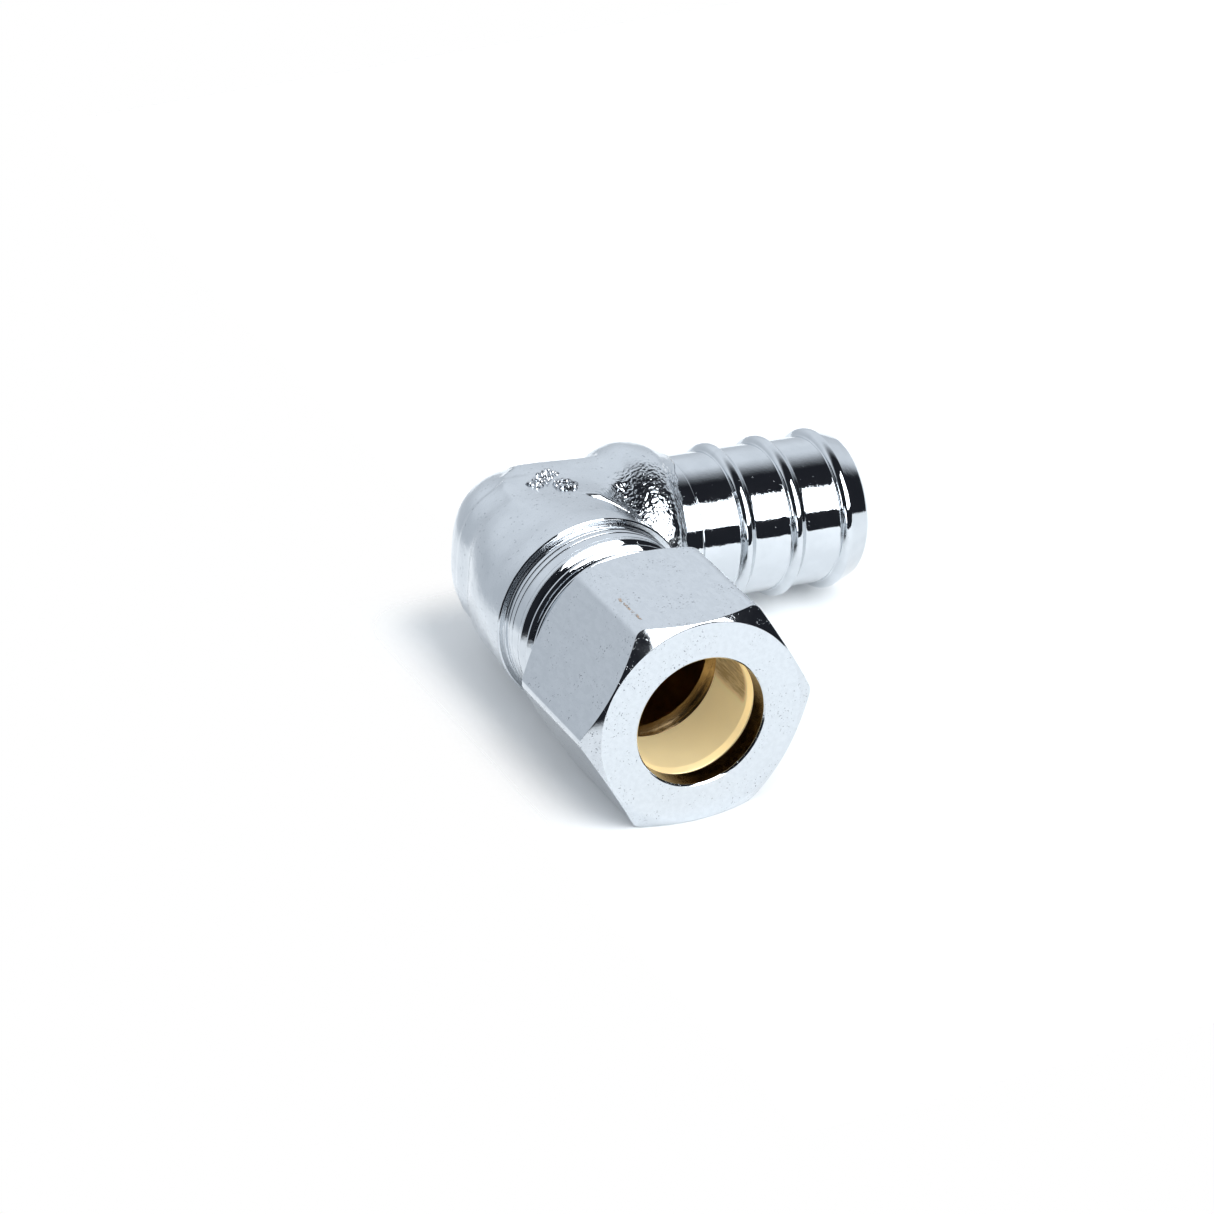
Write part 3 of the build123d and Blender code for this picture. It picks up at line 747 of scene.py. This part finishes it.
    # step down to the turned tube, scribed line, tube and ribs
    profile = [(edge_x + 0.02, BARB_R + 0.03), (edge_x + 0.05, BARB_R), (edge_x + 0.10, BARB_R)]
    profile += [(SCRIBE_X - 0.10, BARB_R), (SCRIBE_X - 0.045, BARB_R - 0.004),
                (SCRIBE_X - 0.025, BARB_R - 0.05), (SCRIBE_X + 0.03, BARB_R - 0.05),
                (SCRIBE_X + 0.05, BARB_R - 0.004), (SCRIBE_X + 0.10, BARB_R)]
    profile += [(x, BARB_R) for x in np.arange(12.1, 14.4, 0.5)]
    for foot in RIB_FEET:
        profile += [(foot - 0.06, BARB_R), (foot, BARB_R + 0.012), (foot + 0.05, BARB_R + 0.13),
                    (foot + 0.13, BARB_R + 0.31), (foot + 0.26, BARB_R + 0.44), (foot + 0.40, BARB_R + 0.50),
                    (foot + 0.55, RIB_R), (foot + 0.68, RIB_R - 0.005), (foot + 0.74, RIB_R - 0.035)]
        if foot != RIB_FEET[-1]:
            profile += [(foot + 1.22, BARB_R + 0.02), (foot + 1.28, BARB_R), (foot + 1.40, BARB_R)]
            profile += [(x, BARB_R) for x in np.arange(foot + 1.9, foot + 4.0, 0.5)]
    profile += [(TIP_X - 0.24, 5.47), (TIP_X - 0.19, 5.44), (TIP_X - 0.02, 5.27), (TIP_X, 5.24)]
    profile += [(TIP_X, 4.62), (TIP_X - 0.02, 4.58), (TIP_X - 0.24, BARB_BORE_R + 0.01)]
    for x, r in profile:
        soft = 0.004 * noise(barb_ring(THETA, x, BARB_R), 2.2, 11) - 0.004
        ring = skin.ring(barb_ring(THETA, x, r + soft))
        skin.bridge(last, ring, TURNED)
        last = ring

    # water way: barb bore, the corner where both bores meet, tube bore, stop and socket
    for x, r in [(TIP_X - 0.35, BARB_BORE_R), (22.5, BARB_BORE_R), (19.5, BARB_BORE_R), (16.5, BARB_BORE_R),
                 (13.5, BARB_BORE_R), (11.0, BARB_BORE_R), (TURNED_X, BARB_BORE_R - 0.03),
                 (TURNED_X, BORE_R + 0.04), (TURNED_X - 0.05, BORE_R), (9.8, BORE_R)]:
        ring = skin.ring(barb_ring(THETA, x, r))
        skin.bridge(last, ring, BORE)
        last = ring
    for centre, inward in list(zip(*bend_frames()))[::-4]:
        reach = inward * sin[:, None] + np.array((0, 0, 1.0)) * cos[:, None]
        low, high = np.full(N, 1.0), np.full(N, 9.0)
        for _ in range(16):
            middle = (low + high) / 2
            p = centre + reach * middle[:, None]
            d = CENTRE_Y - p[:, 1]
            void = np.minimum(np.maximum(np.hypot(p[:, 0], p[:, 2]), np.where(d < 0, 9, 0)),
                              np.maximum(np.hypot(d, p[:, 2]), np.where(p[:, 0] < 0, 9, 0)))
            void = np.minimum(void, np.linalg.norm(p - (0, CENTRE_Y, 0), axis=1)) - BORE_R
            low, high = np.where(void < 0, middle, low), np.where(void < 0, high, middle)
        rough = 0.03 * noise(centre + reach * low[:, None], 0.6, 12)
        ring = skin.ring(centre + reach * (low + rough)[:, None])
        skin.bridge(last, ring, BORE)
        last = ring
    inner = [(3.0, BORE_R), (1.5, BORE_R), (0.1, BORE_R), (0.0, BORE_R + 0.06), (0.0, SOCKET_R - 0.06),
             (-0.08, SOCKET_R)]
    for y in TOOL_LINES_Y:
        inner += [(y + 0.10, SOCKET_R), (y + 0.05, SOCKET_R - 0.012), (y - 0.05, SOCKET_R - 0.012),
                  (y - 0.10, SOCKET_R)]
    seat_y = FACE_Y + SEAT_R - SOCKET_R
    inner += [(seat_y + 0.05, SOCKET_R), (seat_y - 0.04, SOCKET_R + 0.03)]
    for share, groove in ((0.3, 0), (0.36, 0.02), (0.42, 0), (0.6, 0), (0.66, 0.02), (0.72, 0)):
        step = share * (SEAT_R - SOCKET_R)
        inner.append((seat_y - step, SOCKET_R + step - groove))
    inner.append((FACE_Y + 0.04, SEAT_R - 0.04))
    # The socket and its seat take the near-black brass, painted shade of the hollow.
    for y, r in inner:
        ring = skin.ring(tube_ring(THETA, y, r))
        skin.bridge(last, ring, SEAT if y < 0.05 else BORE)
        last = ring
    skin.bridge(last, start, SEAT)
    return skin.build("elbow_look", [CHROME_TURNED, CHROME_FORGED, BRASS_BORE, BRASS_TURNED_PAINTED_SHADE])


# ---- raised marks -----------------------------------------------------------
def patch(skin, x, y, rise):
    """Closed lump on the forged top face over a grid of plan points (rows, columns)."""
    base = land_height(x, y)
    top = np.stack([x, y, base - MARK_SINK + rise], -1)
    bottom = np.stack([x, y, base - MARK_ROOT], -1)
    rows, columns = x.shape
    up = skin.ring(top).reshape(rows, columns)
    down = skin.ring(bottom).reshape(rows, columns)
    skin.quads(up[:-1, :-1], up[:-1, 1:], up[1:, 1:], up[1:, :-1], 0)
    skin.quads(down[:-1, :-1], down[1:, :-1], down[1:, 1:], down[:-1, 1:], 0)
    return up, down


def build_marks():
    """A ring and a slanting row of bars, generic stand-ins for the forging's marks."""
    skin = Skin()
    u, v = np.meshgrid(np.linspace(-1, 1, 12), np.linspace(-1, 1, 26))
    cos, sin = np.cos(MARK_BARS_ANGLE), np.sin(MARK_BARS_ANGLE)
    for k in (-1.5, -0.5, 0.5, 1.5):
        local_x = k * MARK_BAR_PITCH + u * MARK_BAR_HALF_W
        local_y = v * MARK_BAR_HALF_L + 0.05 * np.sin(2.3 * k)
        x = MARK_BARS_AT[0] + local_x * cos - local_y * sin
        y = MARK_BARS_AT[1] + local_x * sin + local_y * cos
        at = np.stack([x, y, 0 * x], -1)
        rise = MARK_RISE * (1 - v ** 8) + MARK_ROUGH * noise(at, 0.26, 20) * (1 - v ** 6)
        rise = rise * (1 - u ** 4)
        up, down = patch(skin, x, y, np.maximum(rise, 0))
        skin.quads(up[0, 1:], up[0, :-1], down[0, :-1], down[0, 1:], 0)
        skin.quads(up[-1, :-1], up[-1, 1:], down[-1, 1:], down[-1, :-1], 0)
        skin.quads(up[:-1, 0], up[1:, 0], down[1:, 0], down[:-1, 0], 0)
        skin.quads(up[1:, -1], up[:-1, -1], down[:-1, -1], down[1:, -1], 0)
    u, turn = np.meshgrid(np.linspace(-1, 1, 10), np.linspace(0, 2 * np.pi, 73)[:-1])
    radius = MARK_RING_R + u * MARK_RING_HALF_W
    x, y = MARK_RING_AT[0] + radius * np.cos(turn), MARK_RING_AT[1] + radius * np.sin(turn)
    at = np.stack([x, y, 0 * x], -1)
    rise = (MARK_RISE + MARK_ROUGH * noise(at, 0.28, 21)) * (1 - u ** 4)
    x, y, rise = (np.concatenate([a, a[:1]]) for a in (x, y, rise))
    base = land_height(x, y)
    top = skin.ring(np.stack([x, y, base - MARK_SINK + np.maximum(rise, 0)], -1)[:-1]).reshape(72, 10)
    low = skin.ring(np.stack([x, y, base - MARK_ROOT], -1)[:-1]).reshape(72, 10)
    top2, low2 = np.roll(top, -1, axis=0), np.roll(low, -1, axis=0)
    skin.quads(top[:, :-1], top[:, 1:], top2[:, 1:], top2[:, :-1], 0)
    skin.quads(low[:, :-1], low2[:, :-1], low2[:, 1:], low[:, 1:], 0)
    skin.quads(top[:, -1], low[:, -1], low2[:, -1], top2[:, -1], 0)
    skin.quads(top[:, 0], top2[:, 0], low2[:, 0], low[:, 0], 0)
    return skin.build("die_marks", [CHROME_MARKS])


# ---- compression nut --------------------------------------------------------
NUT_FACE_R = 7.82                         # flat ring left by the bevels
NUT_CORNER_R = 2 * FLAT_D / np.sqrt(3)
NUT_SLOPE = 1.0 / (NUT_CORNER_R - NUT_FACE_R)
NUT_REAR_SLOPE = 1.1 / (NUT_CORNER_R - NUT_FACE_R)
NUT_EDGE_R = 0.95
HOLE_R = 4.93
NUT_LIP_L = 1.70                          # length of the tube hole
NUT_MINOR_R = ROOT_R + CLEAR


def nut_angles():
    """Columns of the hexagon: close together over each rounded edge."""
    half = np.degrees(np.arctan(NUT_EDGE_R * 0.5 / (FLAT_D / np.cos(np.pi / 6) - NUT_EDGE_R * 0.155)))
    side = np.concatenate([np.linspace(-half, half, 10), np.linspace(half + 0.3, 60 - half - 0.3, 32)])
    return np.radians(np.concatenate([side + 30 + 60 * k for k in range(6)]) % 360)


def hexagon(angle):
    """Distance from the axis to the hexagon with rounded edges."""
    fold = (angle + np.pi / 6) % (np.pi / 3) - np.pi / 6
    flat = FLAT_D / np.cos(fold)
    centre = (FLAT_D - NUT_EDGE_R) / np.cos(np.pi / 6)
    off = np.pi / 6 - np.abs(fold)
    inside = np.maximum(NUT_EDGE_R ** 2 - (centre * np.sin(off)) ** 2, 0)
    round_ = centre * np.cos(off) + np.sqrt(inside)
    limit = np.arctan2(NUT_EDGE_R * 0.5, centre + NUT_EDGE_R * np.cos(np.pi / 6))
    return np.where(off < limit, round_, flat)


def build_nut():
    skin = Skin()
    local = np.sort(nut_angles())
    # the hexagon's top flat leans by the clock angle, so columns do too
    theta = local - CLOCK
    n = len(theta)
    edge = hexagon(local)
    front, rear = nut_low[1], nut_high[1]
    depth = (edge - NUT_FACE_R) * NUT_SLOPE
    rear_depth = (edge - NUT_FACE_R) * NUT_REAR_SLOPE
    rows = [(front + 0.15, HOLE_R), (front + 0.12, HOLE_R + 0.012), (front + 0.015, HOLE_R + 0.12),
            (front, HOLE_R + 0.15), (front, 5.8), (front, 6.8), (front, NUT_FACE_R - 0.06),
            (front + 0.014, NUT_FACE_R - 0.04), (front + 0.004, NUT_FACE_R - 0.015),
            (front + 0.024, NUT_FACE_R + 0.02)]
    for share in (0.3, 0.55, 0.8):
        crown = 0.02 * share * (1 - share)
        rows.append((front + depth * share - crown, NUT_FACE_R + (edge - NUT_FACE_R) * share))
    rows += [(front + depth - 0.015, edge - 0.022), (front + depth + 0.003, edge - 0.008),
             (front + depth + 0.03, edge)]
    for share in np.linspace(0, 1, 12)[1:-1]:
        rows.append((front + depth + (rear - front - depth - rear_depth) * share, edge))
    rows += [(rear - rear_depth - 0.03, edge), (rear - rear_depth - 0.003, edge - 0.008),
             (rear - rear_depth + 0.015, edge - 0.022)]
    for share in (0.8, 0.55, 0.3):
        rows.append((rear - rear_depth * share, NUT_FACE_R + (edge - NUT_FACE_R) * share))
    rows += [(rear - 0.02, NUT_FACE_R + 0.02), (rear, NUT_FACE_R - 0.02), (rear, 7.37), (rear - 0.015, 7.33),
             (rear - 0.35, 7.0), (rear - 0.70, NUT_MINOR_R + 0.015)]
    rings = [skin.ring(tube_ring(theta, y, r)) for y, r in rows]
    for a, b in zip(rings[:-1], rings[1:]):
        skin.bridge(a, b, NUT_OUTSIDE)

    # threaded bore, in step with the elbow's thread
    top = skin.ring(tube_ring(theta, rear - 0.74, NUT_MINOR_R))
    skin.bridge(rings[-1], top, NUT_OUTSIDE)
    cone_y = front + NUT_LIP_L
    bore_y = cone_y + NUT_MINOR_R - HOLE_R
    bottom = skin.ring(tube_ring(theta, bore_y + 0.03, NUT_MINOR_R))
    steps = np.array((0, 0.12, 0.161, 0.19, 0.33, 0.48, 0.5, PITCH / 2))
    rise = np.array((0.58, 0.58, 0.575, 0.53, 0.29, 0.03, 0.004, 0))
    phases = np.concatenate([steps, PITCH - steps[-2:0:-1]])
    rises = np.concatenate([rise, rise[-2:0:-1]])
    half = len(steps) - 1
    start_y = FACE_Y + THREAD_PHASE - PITCH / 2
    first = int(np.ceil((bore_y + 0.05 - start_y) / PITCH * n))
    last = int(np.floor((rear - 0.80 - start_y) / PITCH * n)) - n

    def groove(column, phase):
        turn = column // n + theta[column % n] / (2 * np.pi)
        y = start_y + PITCH * turn + phases[(phase + half) % len(phases)]
        y = y - phases[half] + (PITCH if phase + half >= len(phases) else 0)
        grow = ramp(column, first, first + n / 2) * (1 - ramp(column, last - n / 3, last))
        return tube_ring(theta[column % n], y, NUT_MINOR_R + rises[(phase + half) % len(phases)] * grow)

    # The nut's thread and bore take the near-black brass, painted shade of the hollow.
    skin.helix(bottom, top, groove, first, last, len(phases), NUT_BORE, flip=True)
    last_ring = bottom
    for y, r in [(bore_y - 0.03, NUT_MINOR_R - 0.02), (bore_y - 0.5, NUT_MINOR_R - 0.5),
                 (cone_y + 0.03, HOLE_R + 0.03), (cone_y - 0.03, HOLE_R), (front + 1.1, HOLE_R),
                 (front + 0.6, HOLE_R)]:
        ring = skin.ring(tube_ring(theta, y, r))
        skin.bridge(last_ring, ring, NUT_BORE)
        last_ring = ring
    skin.bridge(last_ring, rings[0], NUT_BORE)
    return skin.build("nut_look", [CHROME_NUT, BRASS_TURNED_PAINTED_SHADE])


# ---- sleeve -----------------------------------------------------------------
SLEEVE_NOSE_R = 5.12


def build_sleeve():
    skin = Skin()
    theta = np.linspace(0, 2 * np.pi, 193)[:-1]
    front, rear = sleeve_low[1], sleeve_high[1]
    inner, outer, nose = SOCKET_R, sleeve_high[0] - 0.01, SLEEVE_NOSE_R
    rows = [(front, inner + 0.20), (front, nose - 0.02), (front + 0.02, nose + 0.01),
            (front + 0.98, outer - 0.01), (front + 1.04, outer)]
    rows += [(y, outer) for y in np.linspace(front + 1.6, rear - 1.6, 6)]
    rows += [(rear - 1.04, outer), (rear - 0.98, outer - 0.01), (rear - 0.02, nose + 0.01),
             (rear, nose - 0.02), (rear, inner + 0.12), (rear - 0.02, inner + 0.085),
             (rear - 0.11, inner + 0.005), (rear - 0.16, inner)]
    for y in np.linspace(rear - 0.6, front + 0.9, 7):
        rows.append((y, inner + 0.004 * np.sin(9 * y)))
    rows += [(front + 0.60, inner), (front + 0.53, inner + 0.008), (front + 0.03, inner + 0.17)]
    rings = [skin.ring(tube_ring(theta, y, r)) for y, r in rows]
    for a, b in zip(rings, rings[1:] + rings[:1]):
        skin.bridge(a, b, 0)
    return skin.build("sleeve_look", [BRASS_SLEEVE])


elbow = build_elbow()
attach(elbow, "elbow")
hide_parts("elbow_body")

marks = build_marks()
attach(marks, "elbow")

nut = build_nut()
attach(nut, "nut")
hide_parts("compression_nut")

sleeve = build_sleeve()
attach(sleeve, "sleeve")
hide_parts("compression_sleeve")

# ---- floor, light and camera ------------------------------------------------
FLOOR_FRONT = -0.052                      # metres
FLOOR_BACK = 0.12
FLOOR_SIDE = 0.12
FLOOR_GAP = 0.00002                       # between the floor and the nut's lower flat
FLOOR_FADE_LEFT = (-0.0115, -0.0050)      # the floor fades out here, x
FLOOR_FADE_BACK = (0.0185, 0.0260)        # and here behind the elbow, y
WALL_LOW = rgba(0.64, 0.69, 0.75)
WALL_HIGH = rgba(0.92, 0.98, 1.05)
ROOM_DARK = rgba(0.020, 0.022, 0.028)
SOFT_BOX = rgba(7.0, 7.2, 7.4)
BOX_AZIMUTH = (-12.4, 45.2)               # degrees from -Y towards +X
BOX_ELEVATION = (19.7, 68.3)
BOX_EDGE = 0.6
BELOW = rgba(1.08, 1.13, 1.18)            # seen in the plate past the floor's faded edge
DOME_LEFT = rgba(0.92, 0.97, 1.03)        # fill for matt surfaces
DOME_RIGHT = rgba(0.36, 0.38, 0.40)


def build_floor():
    """White floor under the nut's lower flat, fading out on the left and behind the elbow."""
    material, s, place = new_material("floor_white")
    x, y, z = s.split(place)
    fade = s.ramp(x, *FLOOR_FADE_LEFT)
    behind = s.math("MULTIPLY", s.ramp(y, *FLOOR_FADE_BACK), s.ramp(x, 0.002, 0.010, 1.0, 0.0))
    fade = s.math("MULTIPLY", fade, s.math("SUBTRACT", 1.0, behind))
    surface = s.node("ShaderNodeBsdfPrincipled", {
        "Base Color": rgba(0.92, 0.93, 0.93), "Roughness": 0.55, "Specular IOR Level": 0.2, "Alpha": fade,
        "Normal": s.bump(s.noise(place, 900.0, 2.0), 0.05, 0.00005)})
    s.node("ShaderNodeOutputMaterial", {"Surface": surface.outputs[0]})
    down = Vector((np.sin(CLOCK), 0, -np.cos(CLOCK)))
    right = Vector((np.cos(CLOCK), 0, np.sin(CLOCK)))
    under = down * (FLAT_D * MM + FLOOR_GAP)
    plan = ((-FLOOR_SIDE, FLOOR_FRONT), (FLOOR_SIDE, FLOOR_FRONT), (FLOOR_SIDE, FLOOR_BACK),
            (-FLOOR_SIDE, FLOOR_BACK))
    corners = [under + right * a + Vector((0, b, 0)) for a, b in plan]
    mesh = bpy.data.meshes.new("floor")
    mesh.from_pydata(corners, [], [(0, 1, 2, 3)])
    mesh.materials.append(material)
    floor = bpy.data.objects.new("floor", mesh)
    bpy.context.scene.collection.objects.link(floor)


def build_world():
    """Pale wall behind, dark overhead and in front with one square soft box, plain white to the camera."""
    world = bpy.data.worlds.new("studio")
    bpy.context.scene.world = world
    world.use_nodes = True
    s = Shader(world.node_tree)
    x, y, z = s.split(s.node("ShaderNodeTexCoord").outputs["Generated"])
    to_degrees = 180 / np.pi
    forward = s.math("MULTIPLY", y, -1.0)
    elevation = s.math("MULTIPLY", s.math("ARCSINE", z), to_degrees)
    azimuth = s.math("MULTIPLY", s.math("ARCTAN2", x, forward), to_degrees)
    overhead = s.math("MULTIPLY", s.math("ARCTAN2", forward, z), to_degrees)
    wall = s.mix(s.ramp(elevation, -4.0, 30.0), WALL_LOW, WALL_HIGH)
    dark = s.math("MULTIPLY", s.ramp(overhead, -42.0, -4.0), s.ramp(overhead, 165.0, 170.0, 1.0, 0.0))
    color = s.mix(dark, wall, ROOM_DARK)
    box = s.math("MULTIPLY", s.window(azimuth, *BOX_AZIMUTH, BOX_EDGE),
                 s.window(elevation, *BOX_ELEVATION, BOX_EDGE))
    color = s.mix(box, color, SOFT_BOX)
    color = s.mix(s.ramp(elevation, -24.0, -16.0, 1.0, 0.0), color, BELOW)
    path = s.node("ShaderNodeLightPath")
    dome = s.mix(s.ramp(x, -0.8, 0.8), DOME_LEFT, DOME_RIGHT)
    color = s.mix(path.outputs["Is Diffuse Ray"], color, dome)
    color = s.mix(path.outputs["Is Camera Ray"], color, rgba(1.0, 1.0, 1.0))
    background = s.node("ShaderNodeBackground", {"Color": color, "Strength": 1.0})
    s.node("ShaderNodeOutputWorld", {"Surface": background.outputs[0]})


build_floor()
build_world()

# The photograph's viewpoint, solved from the outlines of the hexagon, tube hole and ribs.
CAMERA_AT = (-0.15770, -0.29513, 0.17246)
CAMERA_RIGHT = (0.89602, -0.43900, 0.06662)
CAMERA_UP = (0.14695, 0.43477, 0.88848)
CAMERA_BACK = (-0.41900, -0.78629, 0.45407)

camera_data = bpy.data.cameras.new("camera")
camera_data.lens = 155.24
camera_data.sensor_width = 36.0
camera_data.clip_start = 0.01
camera = bpy.data.objects.new("camera", camera_data)
turn = Matrix((CAMERA_RIGHT, CAMERA_UP, CAMERA_BACK)).transposed().to_4x4()
camera.matrix_world = Matrix.Translation(CAMERA_AT) @ turn
bpy.context.scene.collection.objects.link(camera)
bpy.context.scene.camera = camera
bpy.context.scene.view_settings.view_transform = "Standard"
